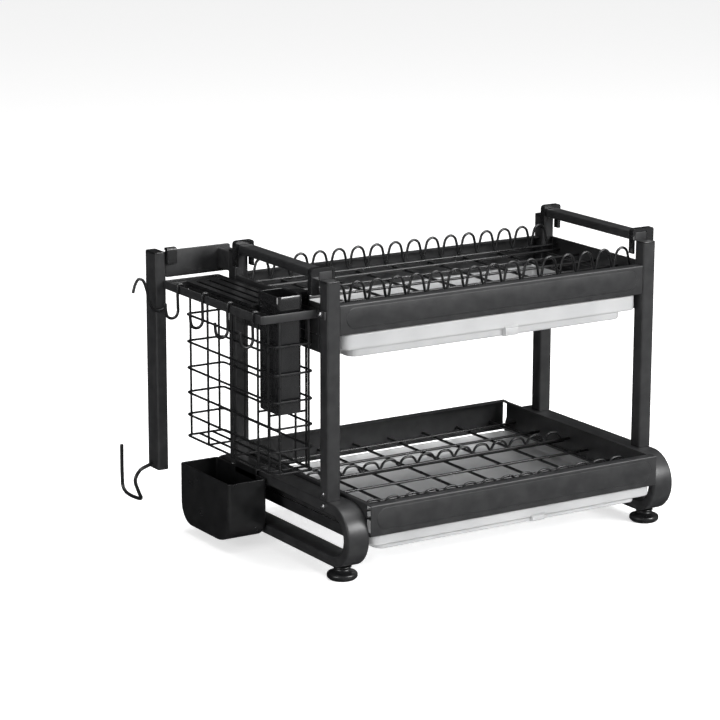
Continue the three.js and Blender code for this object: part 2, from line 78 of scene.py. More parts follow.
def spans(node):
    """A CAD node's (low, high) pair along each axis in layout millimetres."""
    low, high = box(node)
    return tuple((low[i], high[i]) for i in range(3))


def shrink(span, by):
    return (span[0] + by, span[1] - by)


def straight(low, high, parts):
    """Evenly spaced points from low to high, both included."""
    return [tuple(a + (b - a) * k / parts for a, b in zip(low, high)) for k in range(parts + 1)]


RACK_WIDTH = box("base_loop_right")[1].x


# ---- Forms --------------------------------------------------------------------------------
def rounded_rect(u, v, r, steps=6):
    """An outline with round corners, from the low v side anticlockwise."""
    corners = ((u[1] - r, v[0] + r, -90), (u[1] - r, v[1] - r, 0),
               (u[0] + r, v[1] - r, 90), (u[0] + r, v[0] + r, 180))
    points = []
    for cu, cv, start in corners:
        for k in range(steps + 1):
            a = math.radians(start + 90 * k / steps)
            points.append((cu + r * math.cos(a), cv + r * math.sin(a)))
    return points


def rounded_polygon(corners, steps=4):
    """An outline from (u, v, radius) corners; a radius of 0 keeps a corner sharp."""
    points = []
    count = len(corners)
    for i, (u, v, r) in enumerate(corners):
        here = Vector((u, v))
        if r <= 0:
            points.append((u, v))
            continue
        back = (Vector(corners[i - 1][:2]) - here).normalized()
        ahead = (Vector(corners[(i + 1) % count][:2]) - here).normalized()
        reach = r / math.tan(back.angle(ahead) / 2)
        centre = here + (back + ahead).normalized() * (r / math.sin(back.angle(ahead) / 2))
        start = here + back * reach - centre
        end = here + ahead * reach - centre
        turn = start.angle_signed(end)
        for k in range(steps + 1):
            points.append(tuple(centre + Matrix.Rotation(-turn * k / steps, 2) @ start))
    return points


def lift(axis, outline, w):
    """Outline (y, z) along x, (x, z) along y, or (x, y) along z, placed at w on that axis."""
    if axis == "x":
        return [(w, u, v) for u, v in outline]
    if axis == "y":
        return [(u, w, v) for u, v in outline]
    return [(u, v, w) for u, v in outline]


def catmull(points, per_span):
    """Centripetal Catmull-Rom points through the given ones."""
    given = [Vector(p) for p in points]
    chain = [given[0] * 2 - given[1]] + given + [given[-1] * 2 - given[-2]]
    out = []
    for i in range(1, len(chain) - 2):
        p0, p1, p2, p3 = chain[i - 1:i + 3]
        d0, d1, d2 = (max((b - a).length ** 0.5, 1e-4) for a, b in ((p0, p1), (p1, p2), (p2, p3)))
        m1 = ((p1 - p0) / d0 - (p2 - p0) / (d0 + d1) + (p2 - p1) / d1) * d1
        m2 = ((p2 - p1) / d1 - (p3 - p1) / (d1 + d2) + (p3 - p2) / d2) * d1
        for k in range(per_span):
            t = k / per_span
            out.append(p1 * (2 * t ** 3 - 3 * t ** 2 + 1) + m1 * (t ** 3 - 2 * t ** 2 + t)
                       + p2 * (3 * t ** 2 - 2 * t ** 3) + m2 * (t ** 3 - t ** 2))
    out.append(given[-1])
    return out


class Form:
    """Closed shells gathered in layout millimetres."""

    def __init__(self):
        self.points = []
        self.faces = []

    def add(self, points):
        start = len(self.points)
        self.points.extend(tuple(p) for p in points)
        return start

    def loft(self, rings, closed=False):
        """Skins equal rings in order. The ends are capped unless the loft closes on itself."""
        n = len(rings[0])
        starts = [self.add(ring) for ring in rings]
        pairs = list(zip(starts, starts[1:])) + ([(starts[-1], starts[0])] if closed else [])
        for a, b in pairs:
            for k in range(n):
                j = (k + 1) % n
                self.faces.append((a + k, a + j, b + j, b + k))
        if not closed:
            self.faces.append(tuple(range(starts[0] + n - 1, starts[0] - 1, -1)))
            self.faces.append(tuple(range(starts[-1], starts[-1] + n)))

    def block(self, axis, u, v, r, span, edge=0.5):
        """A bar or plate with outline corners of radius r and softened end edges."""
        rings = []
        for k in range(4):
            a = math.pi / 2 * k / 3
            inset, rise = edge * (1 - math.sin(a)), edge * (1 - math.cos(a))
            outline = rounded_rect(shrink(u, inset), shrink(v, inset), max(r - inset, 0.1))
            rings.append((outline, rise))
        low = [lift(axis, o, span[0] + rise) for o, rise in rings]
        high = [lift(axis, o, span[1] - rise) for o, rise in reversed(rings)]
        self.loft(low + high)

    def pipe(self, axis, outer, inner, span):
        """A straight hollow bar between two outlines of equal length."""
        self.loft([lift(axis, outer, span[0]), lift(axis, outer, span[1]),
                   lift(axis, inner, span[1]), lift(axis, inner, span[0])], closed=True)

    def prism(self, axis, outline, span, holes=()):
        """A straight extrusion of an outline, with holes through it."""
        loops = [outline, *holes]
        flat = [p for loop in loops for p in loop]
        low = self.add(lift(axis, flat, span[0]))
        high = self.add(lift(axis, flat, span[1]))
        for triangle in tessellate_polygon([[Vector((u, v, 0)) for u, v in loop] for loop in loops]):
            self.faces.append(tuple(low + i for i in triangle))
            self.faces.append(tuple(high + i for i in reversed(triangle)))
        start = 0
        for loop in loops:
            n = len(loop)
            for k in range(n):
                i, j = start + k, start + (k + 1) % n
                self.faces.append((low + i, low + j, high + j, high + i))
            start += n

    def lathe(self, centre, profile, sides=48):
        """Turns (radius, height) points about an upright axis through centre."""
        middle = Vector(centre)
        rings = []
        for r, h in profile:
            ring = []
            for k in range(sides):
                a = 2 * math.pi * (k + 0.5) / sides
                ring.append(middle + Vector((r * math.cos(a), r * math.sin(a), h)))
            rings.append(ring)
        self.loft(rings)

    def tube(self, path, radius, sides=12, closed=False):
        """A round wire along a path. Open ends have a softened rim."""
        rim = 0.6
        points = [Vector(p) for p in path]
        count = len(points)
        tangents = []
        for i in range(count):
            before = points[i - 1] if closed or i > 0 else points[i]
            after = points[(i + 1) % count] if closed or i < count - 1 else points[i]
            tangents.append((after - before).normalized())
        side = Vector((0, 0, 1)) if abs(tangents[0].z) < 0.9 else Vector((1, 0, 0))
        side = (side - tangents[0] * side.dot(tangents[0])).normalized()
        rings = []
        for i in range(count):
            if i:
                side = tangents[i - 1].rotation_difference(tangents[i]) @ side
                side = (side - tangents[i] * side.dot(tangents[i])).normalized()
            other = tangents[i].cross(side)
            ends = [(radius, 0.0)]
            if not closed and i in (0, count - 1):
                ends = [(radius - rim, 0.0), (radius - 0.3 * rim, 0.3 * rim), (radius, rim)]
                ends = ends if i == 0 else [(r, -rise) for r, rise in reversed(ends)]
            for r, rise in ends:
                centre = points[i] + tangents[i] * rise
                rings.append([centre + (side * math.cos(2 * math.pi * k / sides)
                                        + other * math.sin(2 * math.pi * k / sides)) * r
                              for k in range(sides)])
        self.loft(rings, closed)


# ---- Materials ----------------------------------------------------------------------------
def shader_node(tree, kind, **sockets):
    """Adds a node, with its named inputs set; an underscore stands for a space."""
    made = tree.nodes.new(kind)
    for name, value in sockets.items():
        made.inputs[name.replace("_", " ")].default_value = value
    return made


def noise(tree, scale, detail=3.0):
    """Noise in the piece's own metres, so that its grain has a real size."""
    where = tree.nodes.new("ShaderNodeTexCoord")
    made = shader_node(tree, "ShaderNodeTexNoise", Scale=scale, Detail=detail, Roughness=0.55)
    tree.links.new(where.outputs["Object"], made.inputs["Vector"])
    return made.outputs["Fac"]


def spread(tree, source, low, high):
    """Maps a noise value to a range of numbers."""
    made = shader_node(
        tree, "ShaderNodeMapRange", From_Min=0.3, From_Max=0.7, To_Min=low, To_Max=high)
    tree.links.new(source, made.inputs["Value"])
    return made.outputs["Result"]


def ramp(tree, source, low, high):
    """Maps a noise value to a colour between two others."""
    made = tree.nodes.new("ShaderNodeValToRGB")
    for stop, place, colour in zip(made.color_ramp.elements, (0.35, 0.65), (low, high)):
        stop.position = place
        stop.color = (*colour, 1.0)
    tree.links.new(source, made.inputs["Fac"])
    return made.outputs["Color"]


def finish_material(name, tones, tone_scale, rough, rough_scale, grains, **uniform):
    """A shader with mottled colour, uneven gloss and layers of fine relief.

    grains holds (scale per metre, height in metres, strength) for each layer of relief.
    """
    made = bpy.data.materials.new(name)
    made.use_nodes = True
    tree = made.node_tree
    shader = tree.nodes["Principled BSDF"]
    tree.links.new(ramp(tree, noise(tree, tone_scale), *tones), shader.inputs["Base Color"])
    tree.links.new(spread(tree, noise(tree, rough_scale, 4.0), *rough), shader.inputs["Roughness"])
    last = None
    for scale, height, strength in grains:
        bump = shader_node(tree, "ShaderNodeBump", Strength=strength, Distance=height)
        tree.links.new(noise(tree, scale, 2.0), bump.inputs["Height"])
        if last is not None:
            tree.links.new(last, bump.inputs["Normal"])
        last = bump.outputs["Normal"]
    tree.links.new(last, shader.inputs["Normal"])
    for socket, value in uniform.items():
        shader.inputs[socket.replace("_", " ")].default_value = value
    return made


BLACK = ((0.005, 0.0051, 0.0056), (0.009, 0.0091, 0.0096))

POWDER = finish_material(
    "powder_coat", tones=((0.014, 0.0142, 0.015), (0.022, 0.0222, 0.023)), tone_scale=60.0,
    rough=(0.34, 0.46), rough_scale=25.0,
    grains=((420.0, 0.00012, 0.10), (1500.0, 0.00006, 0.22)))
WIRE = finish_material(
    "wire_coat", tones=BLACK, tone_scale=90.0, rough=(0.24, 0.36), rough_scale=45.0,
    grains=((700.0, 0.00008, 0.12), (2100.0, 0.00004, 0.18)))
MOULDED = finish_material(
    "moulded_plastic", tones=BLACK, tone_scale=70.0, rough=(0.26, 0.38), rough_scale=30.0,
    grains=((1800.0, 0.00006, 0.30), (5200.0, 0.00003, 0.25)))
GLOSS = finish_material(
    "gloss_plastic", tones=((0.007, 0.0071, 0.0076), (0.011, 0.0111, 0.0116)), tone_scale=40.0,
    rough=(0.10, 0.20), rough_scale=18.0,
    grains=((90.0, 0.00008, 0.06), (900.0, 0.00002, 0.05)), Coat_Weight=0.4, Coat_Roughness=0.06)
FROSTED = finish_material(
    "frosted_plastic", tones=((0.50, 0.505, 0.51), (0.57, 0.572, 0.575)), tone_scale=14.0,
    rough=(0.30, 0.42), rough_scale=20.0,
    grains=((260.0, 0.00008, 0.08), (2600.0, 0.00005, 0.25)), IOR=1.49, Transmission_Weight=0.40)
STEEL = finish_material(
    "plated_steel", tones=((0.52, 0.52, 0.53), (0.66, 0.66, 0.67)), tone_scale=300.0,
    rough=(0.18, 0.34), rough_scale=600.0, grains=((2500.0, 0.00003, 0.20),), Metallic=1.0)
RUBBER = finish_material(
    "rubber_pad", tones=((0.010, 0.010, 0.010), (0.016, 0.016, 0.016)), tone_scale=120.0,
    rough=(0.62, 0.80), rough_scale=80.0, grains=((1500.0, 0.00010, 0.40),))


def make(name, form, material, slot, body="frame", stands_for=(), bevel=0.0, smooth=32.0):
    """Turns a form into a piece of the object that rides on a body.

    Edges sharper than smooth degrees stay crisp, or are rounded by bevel millimetres.
    """
    shape = bmesh.new()
    points = [shape.verts.new(ORIGIN + Vector(p) * MM) for p in form.points]
    for face in form.faces:
        shape.faces.new([points[i] for i in face])
    bmesh.ops.remove_doubles(shape, verts=shape.verts, dist=WELD)
    bmesh.ops.dissolve_degenerate(shape, edges=shape.edges, dist=WELD)
    bmesh.ops.recalc_face_normals(shape, faces=shape.faces)
    mesh = bpy.data.meshes.new(name)
    shape.to_mesh(mesh)
    shape.free()
    mesh.materials.append(material)
    mesh.shade_smooth()
    mesh.set_sharp_from_angle(angle=math.radians(smooth))
    piece = bpy.data.objects.new(name, mesh)
    bpy.context.scene.collection.objects.link(piece)
    if bevel:
        soften = piece.modifiers.new("soft_edges", "BEVEL")
        soften.width = bevel * MM
        soften.segments = 3
        soften.limit_method = "ANGLE"
        soften.angle_limit = math.radians(smooth)
        soften.harden_normals = True
    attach(piece, body)
    if stands_for:
        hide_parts(*stands_for)
    return piece


def stand_in(node_name, form, material, slot, body="frame", **options):
    """A piece that takes a CAD node's place."""
    return make(node_name + "_fine", form, material, slot, body, (node_name,), **options)


# ---- Base loops and feet ------------------------------------------------------------------
LOOP_BAR, LOOP_EDGE = 14.5, 2.2         # the bar's thickness and its rounded edges
FOOT_HOLE = 4.5
COLLAR_TOP = 17.7
THREAD_TURNS, THREAD_PITCH = 10, 1.15


def base_loop(name, feet):
    """A flat steel bar bent into a closed loop, drilled for its two feet."""
    x, y, z = spans(name)
    radius = (z[1] - z[0]) / 2
    section = rounded_rect(x, (0, LOOP_BAR), LOOP_EDGE, 5)
    form = Form()
    form.loft([lift("x", rounded_rect(shrink(y, d), shrink(z, d), radius - d - 0.001, 20), w)
               for w, d in section], closed=True)
    loop = stand_in(name, form, POWDER, "frame_steel", smooth=40)
    drill = Form()
    for foot in feet:
        middle = sum(spans(foot)[0]) / 2, sum(spans(foot)[1]) / 2
        drill.lathe((*middle, z[0] - 2), ((FOOT_HOLE, 0), (FOOT_HOLE, LOOP_BAR + 1)), 32)
    cutter = make("foot_holes", drill, POWDER, "frame_steel")
    cut = loop.modifiers.new("foot_holes", "BOOLEAN")
    cut.object, cut.operation, cut.solver = cutter, "DIFFERENCE", "EXACT"
    bpy.context.view_layer.update()
    finished = loop.evaluated_get(bpy.context.evaluated_depsgraph_get())
    drilled = bpy.data.meshes.new_from_object(finished)
    loop.modifiers.clear()
    loop.data = drilled
    bpy.data.objects.remove(cutter)


base_loop("base_loop_left", ("foot_front_left", "foot_rear_left"))
base_loop("base_loop_right", ("foot_front_right", "foot_rear_right"))


def levelling_foot(corner):
    """A moulded disc with a waisted collar on a threaded stud, over a rubber pad."""
    name = "foot_" + corner
    x, y, z = spans(name)
    centre = (sum(x) / 2, sum(y) / 2, 0)
    radius = (x[1] - x[0]) / 2
    body = Form()
    body.lathe(centre, (
        (0, 1.6), (radius - 2.4, 1.6), (radius - 2.2, 1.2), (radius - 0.8, 2.2), (radius, 3.6),
        (radius, 6.6), (radius - 0.5, 8.0), (radius - 1.6, 9.0), (radius - 4.4, 10.1),
        (radius - 6.6, 11.2), (12.0, 12.4), (11.2, 13.4), (11.0, 14.4), (11.4, 15.4), (12.2, 16.1),
        (12.5, 16.8), (12.2, 17.5), (11.6, COLLAR_TOP), (0, COLLAR_TOP)))
    stud = [(0, 16.0), (3.9, 16.0)]
    for k in range(THREAD_TURNS):
        low = COLLAR_TOP + k * THREAD_PITCH
        stud += [(3.35, low), (3.95, low + 0.55)]
    stud += [(3.3, z[1] - 0.6), (2.6, z[1]), (0, z[1])]
    body.lathe(centre, stud, 24)
    stand_in(name, body, MOULDED, "black_plastic", name)
    pad = Form()
    pad.lathe(centre, (
        (0, 0), (radius - 3.4, 0), (radius - 2.6, 0.5), (radius - 2.6, 1.9), (0, 1.9)))
    make(f"foot_pad_{corner}", pad, RUBBER, "black_plastic", name)


for corner in CORNERS:
    levelling_foot(corner)


# ---- Posts, caps and top rails ------------------------------------------------------------
TUBE_CORNER = 2.4


def square_tube(name):
    x, y, z = spans(name)
    bore = rounded_rect(shrink(x, SHEET), shrink(y, SHEET), TUBE_CORNER - SHEET)
    form = Form()
    form.pipe("z", rounded_rect(x, y, TUBE_CORNER), bore, z)
    stand_in(name, form, POWDER, "frame_steel", bevel=0.2)


def tube_cap(name):
    """A moulded plug whose head sits flush on the tube, slightly crowned."""
    x, y, z = spans(name)
    head = z[1] - 2.1
    form = Form()
    crown = (
        (0.5, head), (0.1, head + 0.15), (0.0, head + 0.5), (0.0, z[1] - 0.9),
        (0.25, z[1] - 0.45), (0.9, z[1] - 0.15), (3.0, z[1] - 0.05), (7.0, z[1]))
    form.loft([
        lift("z", rounded_rect(shrink(x, d), shrink(y, d), max(TUBE_CORNER - d, 0.4)), w)
        for d, w in crown])
    form.block("z", shrink(x, 1.8), shrink(y, 1.8), 0.8, (z[0], head + 0.3))
    stand_in(name, form, MOULDED, "black_plastic")


for corner in CORNERS:
    square_tube("post_" + corner)
    tube_cap("post_cap_" + corner)
square_tube("wing_post")
tube_cap("wing_post_cap")


def top_rail(name):
    x, y, z = spans(name)
    form = Form()
    form.block("y", x, z, 2.2, y)
    stand_in(name, form, POWDER, "frame_steel")


top_rail("top_rail_left")
top_rail("top_rail_right")


def top_saddle(corner):
    """A moulded inverted U pressed over the top rail beside a post."""
    name = "top_saddle_" + corner
    x, y, z = spans(name)
    rail = spans("top_rail_left" if corner.endswith("left") else "top_rail_right")
    inner, roof = shrink(rail[0], -GAP), rail[2][1] + GAP
    outline = rounded_polygon((
        (x[0], z[0], 1.5), (inner[0], z[0], 0.8), (inner[0], roof, 0.6), (inner[1], roof, 0.6),
        (inner[1], z[0], 0.8), (x[1], z[0], 0.8), (x[1], z[1], 3.4), (x[0], z[1], 5.0)))
    form = Form()
    form.prism("y", outline, y)
    stand_in(name, form, GLOSS, "black_plastic", bevel=0.8, smooth=40)


for corner in CORNERS:
    top_saddle(corner)


# ---- Face rails ---------------------------------------------------------------------------
# The panel's margins inside the rail, then its rise, its edge's width and how far the edge
# reaches outside the margins
PANEL_END, PANEL_TOP, PANEL_BOTTOM = 10.0, 5.5, 8.5
PANEL_RISE, PANEL_SLOPE, PANEL_SKIRT = 0.8, 1.2, 1.0
FOLD = 1.8                  # outside radius of a fold


def framed_panel(form, x, z, front):
    """A flat sheet face at y = front with a raised panel whose ends are half round."""
    px = shrink(x, PANEL_END - PANEL_SKIRT)
    pz = (z[0] + PANEL_BOTTOM - PANEL_SKIRT, z[1] - PANEL_TOP + PANEL_SKIRT)
    radius = (pz[1] - pz[0]) / 2
    steps = 12
    profile = ((0.0, 0.0), (0.3, 0.06), (PANEL_SLOPE - 0.3, 0.9), (PANEL_SLOPE, 1.0))
    rings = [
        lift("y", rounded_rect(shrink(px, d), shrink(pz, d), radius - d - 0.01, steps),
             front - PANEL_RISE * part)
        for d, part in profile]
    starts = [form.add(ring) for ring in rings]
    n = len(rings[0])
    for a, b in zip(starts, starts[1:]):
        for k in range(n):
            j = (k + 1) % n
            form.faces.append((a + k, a + j, b + j, b + k))
    form.faces.append(tuple(range(starts[-1], starts[-1] + n)))
    edge_z = (z[0] + FOLD, z[1] - FOLD)
    corner = form.add(lift("y", (
        (x[1], edge_z[0]), (x[1], edge_z[1]), (x[0], edge_z[1]), (x[0], edge_z[0])), front))
    for c in range(4):
        arc = starts[0] + c * (steps + 1)
        for k in range(steps):
            form.faces.append((corner + c, arc + k + 1, arc + k))
        ahead = (c + 1) % 4
        form.faces.append((corner + c, corner + ahead, starts[0] + ahead * (steps + 1), arc + steps))


def face_rail(name, rear):
    """A folded channel along x, its lips towards the rack's middle."""
    x, y, z = spans(name)
    depth = y[1] - y[0]
    front = PANEL_RISE
    outer = rounded_polygon(((front, z[0], FOLD), (depth, z[0], 0.0), (depth, z[0] + SHEET, 0.0),
                             (front + SHEET, z[0] + SHEET, 0.4), (front + SHEET, z[1] - SHEET, 0.4),
                             (depth, z[1] - SHEET, 0.0), (depth, z[1], 0.0), (front, z[1], FOLD)), 5)
    form = Form()
    low = form.add(lift("x", outer, x[0]))
    high = form.add(lift("x", outer, x[1]))
    n = len(outer)
    form.faces.append(tuple(range(low, low + n)))
    form.faces.append(tuple(range(high + n - 1, high - 1, -1)))
    for k in range(n):
        j = (k + 1) % n
        on_web = max(abs(outer[k][0] - front), abs(outer[j][0] - front)) < 0.01
        if not on_web:
            form.faces.append((low + k, low + j, high + j, high + k))
    framed_panel(form, x, z, front)
    form.points = [(px, y[1] - py if rear else y[0] + py, pz) for px, py, pz in form.points]
    stand_in(name, form, POWDER, "frame_steel", smooth=24)


face_rail("upper_front_rail", False)
face_rail("lower_front_rail", False)
face_rail("upper_rear_rail", True)
face_rail("lower_rear_rail", True)


def side_channel(name, right):
    """A shallow folded channel along y with its web on the rack's outer side."""
    x, y, z = spans(name)
    web, inner = (x[1], x[0]) if right else x
    step = -SHEET if right else SHEET
    outline = rounded_polygon(((web, z[0], FOLD), (inner, z[0], 0), (inner, z[0] + SHEET, 0),
                               (web + step, z[0] + SHEET, 0.4), (web + step, z[1] - SHEET, 0.4),
                               (inner, z[1] - SHEET, 0), (inner, z[1], 0), (web, z[1], FOLD)), 5)
    form = Form()
    form.prism("y", outline, y)
    stand_in(name, form, POWDER, "frame_steel", bevel=0.25, smooth=24)


def tray_runner(name, right):
    """An angle whose ledge carries a drip tray's rim, with a turned-up lip."""
    x, y, z = spans(name)
    web, ledge = (x[1], x[0]) if right else x
    step = -SHEET if right else SHEET
    outline = rounded_polygon(((web, z[0], FOLD), (ledge, z[0], 0), (ledge, z[0] + SHEET, 0),
                               (web + step, z[0] + SHEET, 0.4), (web + step, z[1], 0),
                               (web, z[1], 0)), 5)
    form = Form()
    form.prism("y", outline, y)
    stand_in(name, form, POWDER, "frame_steel", bevel=0.25, smooth=24)


for side in ("left", "right"):
    for tier in ("upper", "lower"):
        side_channel(f"{tier}_side_rail_{side}", side == "right")
        tray_runner(f"{tier}_runner_{side}", side == "right")


# ---- Hoop rows and wire floors ------------------------------------------------------------
HOOP_PITCH = 30.8
HOOP_WIRE = 3.6
CARRIER_WIRE = 4.0
# One hoop, as offsets along the row and shares of its height
HOOP_ARCH = ((-15.4, 0.0), (-13.0, 0.17), (-10.8, 0.55), (-7.4, 0.87),
             (0.0, 1.0), (7.4, 0.87), (10.8, 0.55), (13.0, 0.17))
PLATE_ROW = (16, 384.7, 356.0)          # hoops, height of the crests, height of the feet
BOWL_ROW = (14, 99.0, 89.0)
FLOOR_WIRE = 4.0
FLOOR_END, FLOOR_SIDE = 34, 22          # how far in the outermost wires lie


def hoop_row(name, count, crest, foot):
    """One wire bent into a row of hoops on a straight carrier wire."""
    x, y, _ = spans(name)
    row = sum(y) / 2
    first = RACK_WIDTH / 2 - HOOP_PITCH * (count - 1) / 2
    points = [(first + i * HOOP_PITCH + dx, row, foot + (crest - foot) * part)
              for i in range(count) for dx, part in HOOP_ARCH]
    points.append((first + (count - 0.5) * HOOP_PITCH, row, foot))
    form = Form()
    form.tube(catmull(points, 4), HOOP_WIRE / 2)
    carrier = foot - (HOOP_WIRE + CARRIER_WIRE) / 2 + 1
    form.tube(straight((x[0], row, carrier), (x[1], row, carrier), 4), CARRIER_WIRE / 2)
    stand_in(name, form, WIRE, "wire_steel")


hoop_row("plate_hoops_front", *PLATE_ROW)
hoop_row("plate_hoops_rear", *PLATE_ROW)
hoop_row("bowl_hoops_front", *BOWL_ROW)
hoop_row("bowl_hoops_rear", *BOWL_ROW)


def wire_floor(name, longs, crosses):
    """Long wires welded on cross wires."""
    x, y, z = spans(name)
    half = FLOOR_WIRE / 2
    form = Form()
    for k in range(longs):
        at = y[0] + FLOOR_END + (y[1] - y[0] - 2 * FLOOR_END) * k / (longs - 1)
        form.tube(straight((x[0], at, z[1] - half), (x[1], at, z[1] - half), 4), half)
    for k in range(crosses):
        at = x[0] + FLOOR_SIDE + (x[1] - x[0] - 2 * FLOOR_SIDE) * k / (crosses - 1)
        form.tube(straight((at, y[0], z[0] + half), (at, y[1], z[0] + half), 4), half)
    stand_in(name, form, WIRE, "wire_steel")


wire_floor("plate_floor", 5, 9)
wire_floor("bowl_floor", 6, 8)


# ---- Drip trays ---------------------------------------------------------------------------
TRAY_WALL, TRAY_CORNER = 2.0, 14.0
SPOUT_FLARE = 1.2


def tray_ring(outline, inset, z, push, spout):
    """A tray outline at height z whose front side steps out by push at the spout."""
    x, y = (shrink(span, inset) for span in outline)
    low, high = spout
    points = rounded_rect(x, y, TRAY_CORNER - inset, 8)
    points += [(low - SPOUT_FLARE, y[0]), (low, y[0] - push),
               (high, y[0] - push), (high + SPOUT_FLARE, y[0])]
    return lift("z", points, z)


def drip_tray(name, body, ledge, basin, spout, lip):
    """A vacuum-formed tray: a wide shallow rim over a narrower basin, with a pouring notch.

    ledge is the height of the step between them, basin the (x, y) outline below it, spout the
    notch's reach along x, and lip the front of the rim.
    """
    x, (front, back), z = spans(name)
    rim = x, (lip, back)
    push = lip - front
    deep = basin[1][0] - front
    w = TRAY_WALL
    # Up the outside, over the rim, and down the inside
    profile = (
        (basin, 3.0, z[0], deep - 3.0),
        (basin, 0.9, z[0] + 0.8, deep - 0.9),
        (basin, 0.0, z[0] + 2.8, deep),
        (basin, 0.0, ledge - 1.4, deep),
        (basin, -0.4, ledge - 0.4, deep - 0.4),
        (basin, -1.4, ledge, deep - 1.4),
        (rim, 2.0, ledge, push + 2.0),
        (rim, 0.6, ledge + 0.6, push),
        (rim, 0.0, ledge + 2.0, push),
        (rim, 0.0, ledge + 3.6, 0.0),
        (rim, 0.0, z[1] - 2.2, 0.0),
        (rim, 0.0, z[1] - 0.5, 0.0),
        (rim, 0.5, z[1], 0.0),
        (rim, w - 0.5, z[1], 0.0),
        (rim, w, z[1] - 0.5, 0.0),
        (rim, w, ledge + w + 2.2, 0.0),
        (rim, w + 0.6, ledge + w + 0.6, 0.0),
        (rim, w + 2.0, ledge + w, 0.0),
        (basin, w - 1.4, ledge + w, deep - w - 1.2),
        (basin, w, ledge + w - 1.2, deep - w - 1.2),
        (basin, w, z[0] + w + 2.8, deep - w - 1.2),
        (basin, w + 0.9, z[0] + w + 0.8, deep - w - 2.0),
        (basin, w + 3.0, z[0] + w, deep - w - 4.2),
    )
    form = Form()
    form.loft([tray_ring(*step, spout) for step in profile])
    stand_in(name, form, FROSTED, "tray_plastic", body, smooth=50)


drip_tray("upper_drip_tray", "upper_tray", 301.0, ((39, 481), (60, 298)), (281, 301), 56.0)
drip_tray("lower_drip_tray", "lower_tray", 50.0, ((46, 470), (3, 344)), (291, 311), 1.0)


# ---- Utensil wing -------------------------------------------------------------------------
RING_BAR, RING_TIE, TAB_Y = 3.0, 316.3, 73.0
BASKET_WIRE = 3.2
BASKET_LEVELS = (143, 173, 204, 238.5, 275, 312.5, 351)
BASKET_UPRIGHTS = (95, 122, 190, 255)
CHOPSTICK_SHELF = 218.6                 # the cross wires under the chopstick box
KNIFE_SLOTS = (-52, -35, -18)
HOOK_WIRE, HOOK_RADIUS, HOOK_TOP, HOOK_TIP = 4.0, 9.0, 359.7, 21.5
CUP_X, CUP_TOP, CUP_BEND, CUP_WALL = (-62.0, -3.0), 98.0, 28.0, 2.5
CUP_ARC = (0.5, 8, 16, 26, 38, 52, 70, 90)      # degrees up the bend


def wing_plate():
    """A flat plate behind the wing, with a spacer to the rear left post."""
    x, y, z = spans("wing_plate")
    plate_y = (339.0, 342.0)
    spacer_x, spacer_z = (1, 19), (365, 392)
    form = Form()
    form.block("y", x, z, 3.0, plate_y)
    form.block("y", spacer_x, spacer_z, 1.5, (y[0], plate_y[0] + 0.6))
    stand_in("wing_plate", form, POWDER, "frame_steel")


def wing_clip():
    """A moulded clip hooked over the plate's top edge."""
    x, y, z = spans("wing_clip")
    plate_front, plate_top = 338.7, 397.3
    form = Form()
    form.prism("x", rounded_polygon((
        (y[0], z[0], 0.8), (plate_front, z[0], 0.8), (plate_front, plate_top, 0.5),
        (y[1], plate_top, 0.8), (y[1], z[1], 1.4), (y[0], z[1], 3.0))), x)
    stand_in("wing_clip", form, MOULDED, "black_plastic", bevel=0.5, smooth=40)


def basket_frame():
    """A flat bar bent into a ring, with a tie across it and a tab to the front post."""
    x, y, z = spans("basket_frame")
    ring_y = (TAB_Y, y[1])
    section = rounded_rect((0, RING_BAR), z, 0.7, 3)
    form = Form()
    form.loft([
        lift("z", rounded_rect(shrink(x, d), shrink(ring_y, d), 4.0 - d if d < 3.4 else 0.6), w)
        for d, w in section], closed=True)
    form.block("y", shrink(x, RING_BAR - 0.4), z, 0.7, (RING_TIE, RING_TIE + RING_BAR), 0.4)
    form.block("y", (x[1] - RING_BAR, x[1]), z, 0.7, (y[0], TAB_Y + 4))
    stand_in("basket_frame", form, POWDER, "frame_steel")


def utensil_basket():
    """Closed hoops of wire joined by uprights, over a floor of a few crossing wires."""
    x, y, z = spans("utensil_basket")
    half = BASKET_WIRE / 2
    bottom, corner_inset, stringers = BASKET_LEVELS[0], 8, (-45, -25)
    form = Form()

    def wire(low, high):
        form.tube(straight(low, high, 2), half, 10)

    def across(at, height):
        wire((x[0] + half, at, height), (x[1] - half, at, height))

    for level in BASKET_LEVELS:
        hoop = rounded_rect(shrink(x, half), shrink(y, half), 6.0, 5)
        form.tube(lift("z", hoop, level), half, 10, closed=True)
    for at in BASKET_UPRIGHTS:
        for px in shrink(x, half):
            wire((px, at, z[0]), (px, at, z[1]))
        across(at, bottom)
    for px in shrink(x, corner_inset):
        for py in shrink(y, half):
            wire((px, py, z[0]), (px, py, z[1]))
    for px in stringers:
        wire((px, y[0] + half, bottom), (px, y[1] - half, bottom))
    for at in BASKET_UPRIGHTS[:2]:
        across(at, CHOPSTICK_SHELF)
    stand_in("utensil_basket", form, WIRE, "wire_steel")


